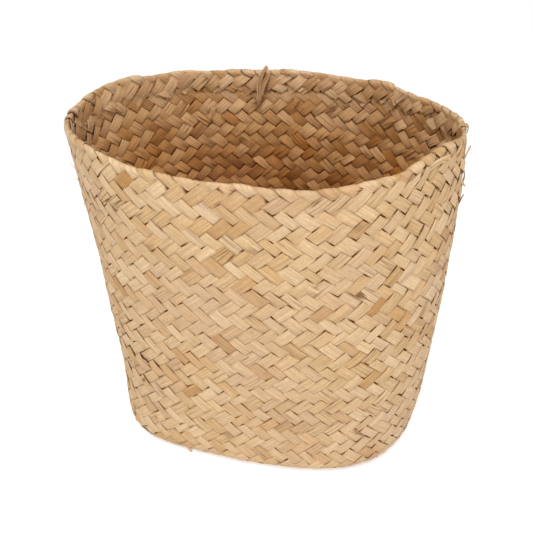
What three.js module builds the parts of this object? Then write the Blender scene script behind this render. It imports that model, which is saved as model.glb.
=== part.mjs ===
import * as THREE from "three";

// An open oval basket, plaited on the bias from flat seagrass leaf strips.
// Length is along X, width along Y, and the underside of the base is at Z = 0.
// Sizes are in millimetres.

// Outer size of the basket, over the strips' relief at the rim
const HEIGHT = 220; // floor to the top of the folded rim
const RIM_LENGTH = 247.6;
const RIM_WIDTH = 189.6;
const BASE_LENGTH = 218;
const BASE_WIDTH = 176;
const RIM_SQUARENESS = 2.05; // exponent of the oval: 2 is an ellipse
const BASE_SQUARENESS = 2.8; // the base is nearer to a rounded rectangle
const WALL_SWELL = 0.48; // how much sooner the wall widens than a straight taper
const LEAN = 8; // the base sits this far towards +X of the rim
const SIDE_SWELL = 15; // the wall's middle leans a quarter of this further
const EDGE_ROUNDING = 14; // how far from the bottom edge the fold begins

// The plait
const ENDS_PER_SIDE = 4; // band ends in each direction above each side of the base
const ROWS = 12; // crossings from the bottom edge to the rim
const STRIP_THICKNESS = 0.8;
const CROSSING_GAP = 0.3; // clearance between two crossing bands
const BAND_COVER = 0.9; // share of the pitch that a band covers
const STRIPS_PER_BAND = 4;
const STRIP_RELIEF = 0.8; // each strip's middle stands this far above its edges
const RIB_INSET = 0.05; // a strip's relief ends this share of the pitch before the next crossing

// The folded rim
const RIM_FOLD_HEIGHT = 4; // the fold stands this far above the band ends
const RIM_TUCK = 18; // how far down the inside the tucked ends reach
const RIM_TUCK_THICKNESS = 1;
const RIM_CLEARANCE = 0.6; // between the tucked ends and the wall
const RIM_CHAMFER = 1;
const SEAT_GAP = 0.3;

// The twine tie at the back rim
const TWINE_DIAMETER = 1.6;
const TWINE_CLEARANCE = 0.7;
const TWINE_RISE = 2; // the loop stands this far above the rim
const TWINE_PLACE = 10.5; // band ends counted round from the -X, -Y corner, to the nearest hole
const KNOT_DROP = 33; // centre of the knot below the top of the rim
const KNOT_RADIUS = 2.6;
const KNOT_HEIGHT_RATIO = 1.3;

const wallHalf = (2 * STRIP_THICKNESS + CROSSING_GAP) / 2;
const layerOffset = (STRIP_THICKNESS + CROSSING_GAP) / 2;
const bandTop = HEIGHT - RIM_FOLD_HEIGHT - SEAT_GAP;
const bandEnds = 4 * ENDS_PER_SIDE;
const halfBase = ENDS_PER_SIDE / 2;

// A point of an oval of the given half sizes, at an angle from +X.
function ovalPoint(angle, halfLength, halfWidth, squareness) {
  const c = Math.cos(angle);
  const s = Math.sin(angle);
  return new THREE.Vector2(
    halfLength * Math.sign(c) * Math.abs(c) ** (2 / squareness),
    halfWidth * Math.sign(s) * Math.abs(s) ** (2 / squareness),
  );
}

// An oval read by the share of its length, counted counter-clockwise from its -Y middle.
function ovalByLength(halfLength, halfWidth, squareness) {
  const samples = 1440;
  const points = [];
  for (let i = 0; i <= samples; i++) {
    const angle = -Math.PI / 2 + (2 * Math.PI * i) / samples;
    points.push(ovalPoint(angle, halfLength, halfWidth, squareness));
  }
  const reach = [0];
  for (let i = 1; i <= samples; i++) {
    reach.push(reach[i - 1] + points[i].distanceTo(points[i - 1]));
  }
  return (share) => {
    const wanted = (share - Math.floor(share)) * reach[samples];
    let low = 0;
    let high = samples;
    while (high - low > 1) {
      const middle = (low + high) >> 1;
      if (reach[middle] <= wanted) low = middle;
      else high = middle;
    }
    const part = (wanted - reach[low]) / (reach[high] - reach[low]);
    return points[low].clone().lerp(points[high], part);
  };
}

const rimInset = wallHalf + STRIP_RELIEF;
const rimOval = ovalByLength(RIM_LENGTH / 2 - rimInset, RIM_WIDTH / 2 - rimInset, RIM_SQUARENESS);
const baseOval = ovalByLength(BASE_LENGTH / 2 - wallHalf, BASE_WIDTH / 2 - wallHalf, BASE_SQUARENESS);

// The middle of the wall's thickness: s counts band ends counter-clockwise from the -X, -Y corner,
// and v runs from 0 at the bottom edge to 1 at the band ends.
function wallPoint(s, v) {
  const share = (s - halfBase) / bandEnds;
  const widening = v + WALL_SWELL * v * (1 - v);
  const flat = baseOval(share).lerp(rimOval(share), widening);
  const lean = LEAN * (1 - v) + SIDE_SWELL * v * (1 - v);
  return new THREE.Vector3(flat.x + lean, flat.y, wallHalf + (bandTop - wallHalf) * v);
}

// The unit vector along the outline at s, counter-clockwise.
function wallTangent(s, v) {
  return wallPoint(s + 0.02, v).sub(wallPoint(s - 0.02, v)).normalize();
}

// The base is a square from -halfBase to halfBase in both x and y: a point of its border as a value of s.
function borderPlace(x, y) {
  if (y <= -halfBase + 1e-9 && Math.abs(x) <= halfBase + 1e-9) return x + halfBase;
  if (x >= halfBase - 1e-9) return ENDS_PER_SIDE + y + halfBase;
  if (y >= halfBase - 1e-9) return 2 * ENDS_PER_SIDE + halfBase - x;
  return 3 * ENDS_PER_SIDE + halfBase - y;
}

// Bends the sharp bottom edge into a round one and adds the outward normal.
// edgeDistance is negative on the base and positive on the wall.
function roundedEdge(sharp, s, edgeDistance) {
  const tangent = wallTangent(s, 0);
  const outward = tangent.clone().cross(new THREE.Vector3(0, 0, 1));
  const upward = wallPoint(s, 0.02).sub(wallPoint(s, 0)).normalize();
  const left = Math.max(0, EDGE_ROUNDING - Math.abs(edgeDistance));
  const pull = (left * left) / (4 * EDGE_ROUNDING);
  const turn = left / (2 * EDGE_ROUNDING);
  const point = sharp.clone().addScaledVector(upward, pull).addScaledVector(outward, -pull);
  const along = outward.clone().lerp(upward, edgeDistance < 0 ? turn : 1 - turn);
  const normal = tangent.cross(along).normalize();
  return { point, normal };
}

// A place on the base, for x and y inside the square: straight lines near the middle,
// scaled copies of the oval near the edge.
function onBase(x, y) {
  const ratio = Math.max(Math.abs(x), Math.abs(y)) / halfBase;
  const straight = new THREE.Vector3(
    (x / halfBase) * (BASE_LENGTH / 2 - wallHalf) + LEAN,
    (y / halfBase) * (BASE_WIDTH / 2 - wallHalf),
    wallHalf,
  );
  if (ratio < 1e-6) return { point: straight, normal: new THREE.Vector3(0, 0, -1) };
  const s = borderPlace(x / ratio, y / ratio);
  const centre = new THREE.Vector3(LEAN, 0, wallHalf);
  const edge = wallPoint(s, 0);
  const radial = centre.clone().lerp(edge, ratio);
  const sharp = straight.lerp(radial, ratio * ratio);
  return roundedEdge(sharp, s, -(1 - ratio) * edge.distanceTo(centre));
}

function onWall(s, v) {
  const edgeDistance = wallPoint(s, v).distanceTo(wallPoint(s, 0));
  if (edgeDistance < EDGE_ROUNDING) return roundedEdge(wallPoint(s, v), s, edgeDistance);
  const upward = wallPoint(s, v + 0.01).sub(wallPoint(s, v - 0.01));
  const normal = wallTangent(s, v).cross(upward).normalize();
  return { point: wallPoint(s, v), normal };
}

// Bands of kind "p" follow x - y = row on the base and those of kind "q" follow x + y = row.
// step runs along the band and is 0 at its middle.
function basePlace(kind, row, step) {
  const y = kind === "p" ? (step - row) / 2 : (row - step) / 2;
  return [(row + step) / 2, y];
}

// Crossings above the bottom edge, negative on the base.
function climbAt(row, step) {
  return Math.abs(step) - (ENDS_PER_SIDE - Math.abs(row));
}

// The surface point and outward normal at a place on a band.
function bandPlace(kind, row, step) {
  const [x, y] = basePlace(kind, row, step);
  const climb = climbAt(row, step);
  if (climb <= 0) return onBase(x, y);
  const v = climb / ROWS;
  const forward = step > 0;
  const positive = row > 0;
  if (positive && forward) return onWall(ENDS_PER_SIDE + y + halfBase, v);
  if (!positive && !forward) return onWall(3 * ENDS_PER_SIDE + halfBase - y, v);
  if (kind === "p") {
    return positive ? onWall(x + halfBase, v) : onWall(2 * ENDS_PER_SIDE + halfBase - x, v);
  }
  return positive ? onWall(2 * ENDS_PER_SIDE + halfBase - x, v) : onWall(x + halfBase, v);
}

// A closed mesh from corner points and triangles.
function closedMesh(name, corners, triangles, material) {
  const geometry = new THREE.BufferGeometry();
  const positions = corners.flatMap((p) => [p.x, p.y, p.z]);
  geometry.setAttribute("position", new THREE.Float32BufferAttribute(positions, 3));
  geometry.setIndex(triangles);
  geometry.computeVertexNormals();
  const mesh = new THREE.Mesh(geometry, material);
  mesh.name = name;
  return mesh;
}

// One band: over one crossing band and under the next, from rim to rim.
// Both bands of a crossing use the same four corners of the surface, one layer out and one layer in.
function bandMesh(name, kind, row, material) {
  const half = BAND_COVER / 2;
  const last = 2 * (ENDS_PER_SIDE - Math.abs(row)) + 2 * ROWS;
  const firstStep = -last / 2;
  const corners = [];
  const triangles = [];

  function isOver(crossing) {
    const even = Math.abs(Math.round(row + firstStep + crossing)) % 2 === 0;
    return kind === "p" ? even : !even;
  }

  function addCorner(edge, step, crossing) {
    const place = bandPlace(kind, row + edge, step);
    const offset = isOver(crossing) ? layerOffset : -layerOffset;
    corners.push(place.point.clone().addScaledVector(place.normal, offset + STRIP_THICKNESS / 2));
    corners.push(place.point.clone().addScaledVector(place.normal, offset - STRIP_THICKNESS / 2));
    return corners.length - 2;
  }

  // A face whose corners run counter-clockwise seen from outside on a "q" band and the other way
  // on a "p" band, creased from a to c or from b to d.
  function face(a, b, c, d, fromA) {
    const [second, fourth] = kind === "q" ? [b, d] : [d, b];
    if (fromA) triangles.push(a, second, c, a, c, fourth);
    else triangles.push(a, second, fourth, second, c, fourth);
  }

  // A patch of the outer face and the one behind it.
  function patch(a, b, c, d, fromA) {
    face(a, b, c, d, fromA);
    face(a + 1, d + 1, c + 1, b + 1, fromA);
  }

  function triangle(a, b, c) {
    if (kind === "q") triangles.push(a, b, c);
    else triangles.push(a, c, b);
  }

  // The outer face of a crossing where the band lies over: one long rib for each of its strips.
  function ribbedFace(near, far, step) {
    const lines = [[near.left, far.left]];
    const middle = STRIPS_PER_BAND;
    for (let k = 1; k < 2 * middle; k++) {
      const edge = -half + (half * k) / middle;
      const lift = k % 2 === 1 ? STRIP_RELIEF : 0;
      const ends = [step - half + RIB_INSET, step + half - RIB_INSET].map((at) => {
        const place = bandPlace(kind, row + edge, at);
        const height = layerOffset + STRIP_THICKNESS / 2 + lift;
        corners.push(place.point.clone().addScaledVector(place.normal, height));
        return corners.length - 1;
      });
      lines.push(ends);
    }
    lines.push([near.right, far.right]);
    for (let k = 0; k < 2 * middle; k++) {
      const [a, d] = lines[k];
      const [b, c] = lines[k + 1];
      face(a, b, c, d, true);
    }
    triangle(near.left, near.right, lines[middle][0]);
    triangle(far.right, far.left, lines[middle][1]);
    for (let k = 1; k < 2 * middle - 1; k++) {
      const left = k < middle;
      triangle(left ? near.left : near.right, lines[k + 1][0], lines[k][0]);
      triangle(left ? far.left : far.right, lines[k][1], lines[k + 1][1]);
    }
  }

  // The narrow side along one edge of a patch, from and to in the patch's own order.
  function narrowSide(from, to) {
    const [a, b] = kind === "p" ? [from, to] : [to, from];
    triangles.push(a, b, b + 1, a, b + 1, a + 1);
  }

  // Stations along the band: the left and right corner of each, outer face first.
  const stations = [];
  for (let crossing = 0; crossing <= last; crossing++) {
    const step = firstStep + crossing;
    for (const side of [-half, half]) {
      const pastEnd = (crossing === 0 && side < 0) || (crossing === last && side > 0);
      if (pastEnd) continue;
      const left = addCorner(-half, step + side, crossing);
      const right = addCorner(half, step + side, crossing);
      stations.push({ left, right, crossing });
    }
  }

  // Which way each four-cornered patch is creased: upright on the wall, along the edge at the bottom.
  function creaseFromLeft(crossing) {
    const step = firstStep + crossing;
    const climb = climbAt(row, step);
    const uprightFromLeft = row * step > 0;
    if (climb > 0.5) return uprightFromLeft;
    if (climb > -0.5) return !uprightFromLeft;
    const [x, y] = basePlace(kind, row, step);
    return Math.abs(y) > Math.abs(x);
  }

  for (let i = 0; i + 1 < stations.length; i++) {
    const near = stations[i];
    const far = stations[i + 1];
    const crossing = Math.min(near.crossing, far.crossing);
    const step = firstStep + crossing;
    const atCrossing = near.crossing === far.crossing;
    if (atCrossing && isOver(crossing) && climbAt(row, step) > 0.5 && crossing > 0 && crossing < last) {
      ribbedFace(near, far, step);
      face(near.left + 1, far.left + 1, far.right + 1, near.right + 1, creaseFromLeft(crossing));
    } else {
      patch(near.left, near.right, far.right, far.left, creaseFromLeft(crossing));
    }
    narrowSide(near.right, far.right);
    narrowSide(far.left, near.left);
  }

  // The slanted tips at the rim: the side of the band that is behind gains a corner, and the cut
  // between the two sides has one in its middle, so that it follows the oval.
  const tipOnLeft = row > 0;
  const tips = [
    { at: stations[0], crossing: 0, start: true },
    { at: stations[stations.length - 1], crossing: last, start: false },
  ];
  for (const { at, crossing, start } of tips) {
    const step = firstStep + crossing;
    const tip = addCorner(tipOnLeft ? -half : half, start ? step - half : step + half, crossing);
    const middle = addCorner(0, step, crossing);
    const outline = tipOnLeft ? [at.left, at.right, middle, tip] : [at.right, tip, middle, at.left];
    if (start) outline.reverse();
    patch(...outline, !start);
    for (let i = 0; i < 4; i++) {
      const from = outline[i];
      const to = outline[(i + 1) % 4];
      const joinsBand = from + to === at.left + at.right;
      if (!joinsBand) narrowSide(from, to);
    }
  }
  return closedMesh(name, corners, triangles, material);
}

// A point of the rim's ring. It runs straight between the places where the bands have their corners.
function rimPoint(s, z, offset) {
  const hold = (1 - BAND_COVER) / 2;
  const corner = Math.floor(2 * (s + hold)) / 2;
  const atCorner = s <= corner + hold;
  const from = atCorner ? corner - hold : corner + hold;
  const to = atCorner ? corner + hold : corner + 0.5 - hold;
  const v = (z - wallHalf) / (bandTop - wallHalf);
  const [near, far] = [from, to].map((place) => {
    const outward = wallTangent(place, 1).cross(new THREE.Vector3(0, 0, 1));
    return wallPoint(place, v).addScaledVector(outward, offset);
  });
  const point = near.lerp(far, (s - from) / (to - from));
  return new THREE.Vector3(point.x, point.y, z);
}

// The folded rim: one section carried round the top. Each strip end stands out as a fold, which leans
// one way over the top and the other way down the inside.
function rimMesh(name, material) {
  const tuckInner = -(wallHalf + RIM_CLEARANCE + RIM_TUCK_THICKNESS);
  const tuckOuter = -(wallHalf + RIM_CLEARANCE);
  const foldBottom = HEIGHT - RIM_FOLD_HEIGHT;
  const tuckBottom = HEIGHT - RIM_TUCK;
  const low = HEIGHT - STRIP_RELIEF;
  const folds = bandEnds * STRIPS_PER_BAND;

  // Each corner of the section between two folds, and the way a fold stands out there.
  const section = [
    { offset: wallHalf, z: foldBottom, out: 1, up: 0 },
    { offset: wallHalf, z: low - RIM_CHAMFER, out: 1, up: 1 },
    { offset: wallHalf - RIM_CHAMFER, z: low, out: 1, up: 1 },
    { offset: tuckInner + RIM_CHAMFER, z: low, out: -1, up: 1 },
    { offset: tuckInner, z: low - RIM_CHAMFER, out: -1, up: 1 },
    { offset: tuckInner, z: tuckBottom, out: -1, up: 0 },
    { offset: tuckOuter, z: tuckBottom, out: 0, up: 0 },
    { offset: tuckOuter, z: foldBottom, out: 0, up: 0 },
  ];
  const overTop = RIM_FOLD_HEIGHT + wallHalf - tuckInner;
  const leans = [0, -RIM_FOLD_HEIGHT, -RIM_FOLD_HEIGHT, -overTop, -overTop];
  leans.push(RIM_TUCK - overTop, RIM_TUCK - overTop, 0);
  const foldPitch = rimPoint(0, HEIGHT, 0).distanceTo(rimPoint(1, HEIGHT, 0)) / STRIPS_PER_BAND;

  const corners = [];
  const triangles = [];
  const around = 2 * folds;
  const sides = section.length;
  for (let i = 0; i < around; i++) {
    const raised = i % 2 === 1 ? STRIP_RELIEF : 0;
    section.forEach(({ offset, z, out, up }, j) => {
      const s = (i / 2 + leans[j] / foldPitch) / STRIPS_PER_BAND;
      corners.push(rimPoint(s, z + up * raised, offset + out * raised));
    });
    for (let j = 0; j < sides; j++) {
      const a = i * sides + j;
      const b = i * sides + ((j + 1) % sides);
      const c = ((i + 1) % around) * sides + ((j + 1) % sides);
      const d = ((i + 1) % around) * sides + j;
      triangles.push(a, d, c, a, c, b);
    }
  }
  return closedMesh(name, corners, triangles, material);
}

// The tie: up the inside from the knot, over the rim, down the outside, back in through the plait's
// corner hole in the row below the rim, and down to the knot.
const twineRadius = TWINE_DIAMETER / 2;
const holeShift = ((ROWS - 1) / 2) % 1;
const tiePlace = Math.round(TWINE_PLACE - holeShift) + holeShift;
const holeHeight = wallHalf + ((bandTop - wallHalf) * (ROWS - 1)) / ROWS;
const knotHeight = HEIGHT - KNOT_DROP;
const knotHalfHeight = KNOT_RADIUS * KNOT_HEIGHT_RATIO;
const knotInward = wallHalf + TWINE_CLEARANCE + KNOT_RADIUS;
const tuckFace = wallHalf + RIM_CLEARANCE + RIM_TUCK_THICKNESS + STRIP_RELIEF;
const insideTuck = tuckFace + SEAT_GAP + twineRadius;
const outsideWall = wallHalf + STRIP_RELIEF + TWINE_CLEARANCE + twineRadius;
const knotTop = knotHeight + knotHalfHeight + SEAT_GAP;

// A point beside the wall at the tie: along the rim, outwards from the wall's middle, and at a height.
function besideWall(along, outwards, z) {
  const v = (z - wallHalf) / (bandTop - wallHalf);
  const tangent = wallTangent(tiePlace, v);
  const outward = tangent.clone().cross(new THREE.Vector3(0, 0, 1));
  const point = wallPoint(tiePlace, v);
  point.addScaledVector(tangent, along).addScaledVector(outward, outwards);
  return new THREE.Vector3(point.x, point.y, z);
}

function twineMesh(name, material) {
  const path = new THREE.CatmullRomCurve3([
    besideWall(-1.1, -knotInward, knotTop + twineRadius * 0.4),
    besideWall(-2, -insideTuck - 0.6, HEIGHT - RIM_TUCK - 4),
    besideWall(-2.2, -insideTuck - 0.3, HEIGHT - RIM_TUCK + 4),
    besideWall(-1.6, -insideTuck - 0.3, HEIGHT - 2),
    besideWall(-0.8, -wallHalf, HEIGHT + TWINE_RISE + twineRadius),
    besideWall(0, outsideWall, HEIGHT - 3),
    besideWall(0, outsideWall + 0.2, (HEIGHT + holeHeight) / 2),
    besideWall(0, outsideWall - 0.1, holeHeight + 2.2),
    besideWall(0, 0, holeHeight),
    besideWall(0.3, -outsideWall - 0.6, holeHeight - 1.4),
    besideWall(1.1, -knotInward, knotTop + twineRadius * 0.4),
  ]);
  const round = new THREE.Shape();
  for (let i = 0; i < 8; i++) {
    const angle = (Math.PI * i) / 4;
    const x = twineRadius * Math.cos(angle);
    const y = twineRadius * Math.sin(angle);
    if (i === 0) round.moveTo(x, y);
    else round.lineTo(x, y);
  }
  round.closePath();
  const geometry = new THREE.ExtrudeGeometry(round, { steps: 44, extrudePath: path });
  const mesh = new THREE.Mesh(geometry, material);
  mesh.name = name;
  return mesh;
}

function knotMesh(name, material) {
  const geometry = new THREE.SphereGeometry(KNOT_RADIUS, 12, 8);
  geometry.rotateX(Math.PI / 2);
  const mesh = new THREE.Mesh(geometry, material);
  mesh.name = name;
  mesh.position.copy(besideWall(0, -knotInward, knotHeight));
  mesh.scale.set(1, 1, KNOT_HEIGHT_RATIO);
  return mesh;
}

const basket = new THREE.Group();
const bandsEachWay = 2 * ENDS_PER_SIDE;
for (let i = 0; i < bandsEachWay; i++) {
  const row = i + 0.5 - bandsEachWay / 2;
  const pStraw = new THREE.MeshStandardMaterial({ color: 0xd4b186, roughness: 0.72, metalness: 0 });
  const qStraw = new THREE.MeshStandardMaterial({ color: 0xcaa578, roughness: 0.74, metalness: 0 });
  basket.add(bandMesh(`leaf_band_p_${i + 1}`, "p", row, pStraw));
  basket.add(bandMesh(`leaf_band_q_${i + 1}`, "q", row, qStraw));
}
const rimStraw = new THREE.MeshStandardMaterial({ color: 0xc9a477, roughness: 0.75, metalness: 0 });
const twineFibre = new THREE.MeshStandardMaterial({ color: 0x8f7350, roughness: 0.85, metalness: 0 });
basket.add(rimMesh("folded_rim", rimStraw));
basket.add(twineMesh("twine_tie", twineFibre));
basket.add(knotMesh("twine_knot", twineFibre.clone()));

// The origin is the middle of the underside.
const box = new THREE.Box3().setFromObject(basket, true);
basket.position.set(-(box.min.x + box.max.x) / 2, -(box.min.y + box.max.y) / 2, -box.min.z);

export default basket;
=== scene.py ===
import math

import bpy
import numpy as np
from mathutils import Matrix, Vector


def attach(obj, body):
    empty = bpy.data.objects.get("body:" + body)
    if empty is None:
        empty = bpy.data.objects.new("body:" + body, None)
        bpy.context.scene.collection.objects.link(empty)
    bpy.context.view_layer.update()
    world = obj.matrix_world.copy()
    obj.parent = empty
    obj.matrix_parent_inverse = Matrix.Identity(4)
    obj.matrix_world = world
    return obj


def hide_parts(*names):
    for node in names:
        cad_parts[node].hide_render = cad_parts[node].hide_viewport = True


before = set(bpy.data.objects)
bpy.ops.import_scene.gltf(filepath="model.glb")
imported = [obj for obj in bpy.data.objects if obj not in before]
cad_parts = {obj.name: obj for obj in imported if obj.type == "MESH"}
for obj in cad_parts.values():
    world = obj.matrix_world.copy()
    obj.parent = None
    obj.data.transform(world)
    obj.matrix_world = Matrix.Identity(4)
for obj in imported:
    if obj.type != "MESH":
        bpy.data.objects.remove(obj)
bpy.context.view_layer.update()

# The camera stands close in front of the basket and looks down into it.
# Its place in metres, its direction and its lens come from a fit to the rim, the sides and the base.
CAMERA_PLACE = Vector((0.0725, -0.3783, 0.3649))
CAMERA_AZIMUTH = math.radians(10.66)
CAMERA_DROP = math.radians(33.6)
camera_data = bpy.data.cameras.new("camera")
camera_data.lens = 44.2
camera_data.sensor_width = 36
camera_data.sensor_fit = "HORIZONTAL"
camera = bpy.data.objects.new("camera", camera_data)
camera.location = CAMERA_PLACE
camera_aim = Vector((
    -math.sin(CAMERA_AZIMUTH) * math.cos(CAMERA_DROP),
    math.cos(CAMERA_AZIMUTH) * math.cos(CAMERA_DROP),
    -math.sin(CAMERA_DROP),
))
camera.rotation_euler = camera_aim.to_track_quat("-Z", "Y").to_euler()
bpy.context.scene.collection.objects.link(camera)
bpy.context.scene.camera = camera


# The studio: a white paper floor in a white surround, with a tall soft lamp to each side in front and a
# small one above. They light the outside of the wall fully, and its inside less and less downwards.
def linear_colour(code):
    """An sRGB hex colour as linear values."""
    shares = [int(code[i:i + 2], 16) / 255 for i in (1, 3, 5)]
    return tuple(c / 12.92 if c <= 0.04045 else ((c + 0.055) / 1.055) ** 2.4 for c in shares) + (1.0,)


def add_node(tree, kind, settings=None, links=None):
    """Add a shader node: settings name its properties or inputs, and links join inputs to outputs."""
    node = tree.nodes.new("ShaderNode" + kind)
    for name, value in (settings or {}).items():
        if isinstance(name, int) or name in node.inputs:
            node.inputs[name].default_value = value
        else:
            setattr(node, name, value)
    for name, output in (links or {}).items():
        tree.links.new(output, node.inputs[name])
    return node


def new_tree(owner):
    """An owner's node tree, emptied."""
    owner.use_nodes = True
    owner.node_tree.nodes.clear()
    return owner.node_tree


def studio_floor_material():
    # matt white paper: plain, with a soft shadow near the basket, and blown out white further off
    material = bpy.data.materials.new("white_paper_floor")
    tree = new_tree(material)
    paper = add_node(tree, "BsdfDiffuse", {"Color": linear_colour("#F5F5F5")})
    glow = add_node(tree, "Emission", {"Color": (1, 1, 1, 1), "Strength": 0.45})
    lit = add_node(tree, "AddShader", links={0: paper.outputs[0], 1: glow.outputs[0]})
    white = add_node(tree, "Emission", {"Color": (1, 1, 1, 1), "Strength": 1.0})
    place = add_node(tree, "TexCoord")
    from_basket = add_node(tree, "VectorMath", {"operation": "LENGTH"}, {0: place.outputs["Object"]})
    far_off = add_node(
        tree, "MapRange", {"From Min": 0.25, "From Max": 0.6}, {"Value": from_basket.outputs["Value"]}
    )
    sweep = add_node(
        tree, "MixShader", links={0: far_off.outputs[0], 1: lit.outputs[0], 2: white.outputs[0]}
    )
    path = add_node(tree, "LightPath")
    seen = add_node(
        tree,
        "MixShader",
        links={0: path.outputs["Is Camera Ray"], 1: paper.outputs[0], 2: sweep.outputs[0]},
    )
    add_node(tree, "OutputMaterial", links={"Surface": seen.outputs[0]})
    return material


def add_soft_lamp(name, place, aim, width, height, power):
    """An area lamp that points at aim."""
    lamp_data = bpy.data.lights.new(name, "AREA")
    lamp_data.shape = "RECTANGLE"
    lamp_data.size = width
    lamp_data.size_y = height
    lamp_data.energy = power
    lamp = bpy.data.objects.new(name, lamp_data)
    lamp.location = place
    lamp.rotation_euler = (Vector(aim) - Vector(place)).to_track_quat("-Z", "Y").to_euler()
    bpy.context.scene.collection.objects.link(lamp)


floor_mesh = bpy.data.meshes.new("floor")
FLOOR_HALF = 6
# the floor lies just under the lowest strips, in metres
FLOOR_LEVEL = -0.0005
floor_corners = [(FLOOR_HALF * x, FLOOR_HALF * y, 0) for x, y in ((-1, -1), (1, -1), (1, 1), (-1, 1))]
floor_mesh.from_pydata(floor_corners, [], [(0, 1, 2, 3)])
floor_mesh.materials.append(studio_floor_material())
floor = bpy.data.objects.new("floor", floor_mesh)
floor.location.z = FLOOR_LEVEL
bpy.context.scene.collection.objects.link(floor)

LAMP_AIM = (0, 0, 0.1)
add_soft_lamp("lamp_left", (-1.85, -1.35, 0.7), LAMP_AIM, width=0.5, height=1.5, power=15.6)
add_soft_lamp("lamp_right", (1.95, -1.2, 0.7), LAMP_AIM, width=0.5, height=1.5, power=19.8)
add_soft_lamp("lamp_above", (0.02, -0.75, 1.65), (0, 0.05, 0.1), width=0.4, height=0.4, power=16.8)

world = bpy.data.worlds.new("surround")
bpy.context.scene.world = world
world_tree = new_tree(world)
world_path = add_node(world_tree, "LightPath")
world_light = add_node(world_tree, "Background", {"Color": (1, 1, 1, 1), "Strength": 0.33})
world_white = add_node(world_tree, "Background", {"Color": (1, 1, 1, 1), "Strength": 1.0})
world_mix = add_node(
    world_tree,
    "MixShader",
    links={
        0: world_path.outputs["Is Camera Ray"],
        1: world_light.outputs[0],
        2: world_white.outputs[0],
    },
)
add_node(world_tree, "OutputWorld", links={"Surface": world_mix.outputs[0]})
bpy.context.scene.view_settings.view_transform = "Standard"


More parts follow.
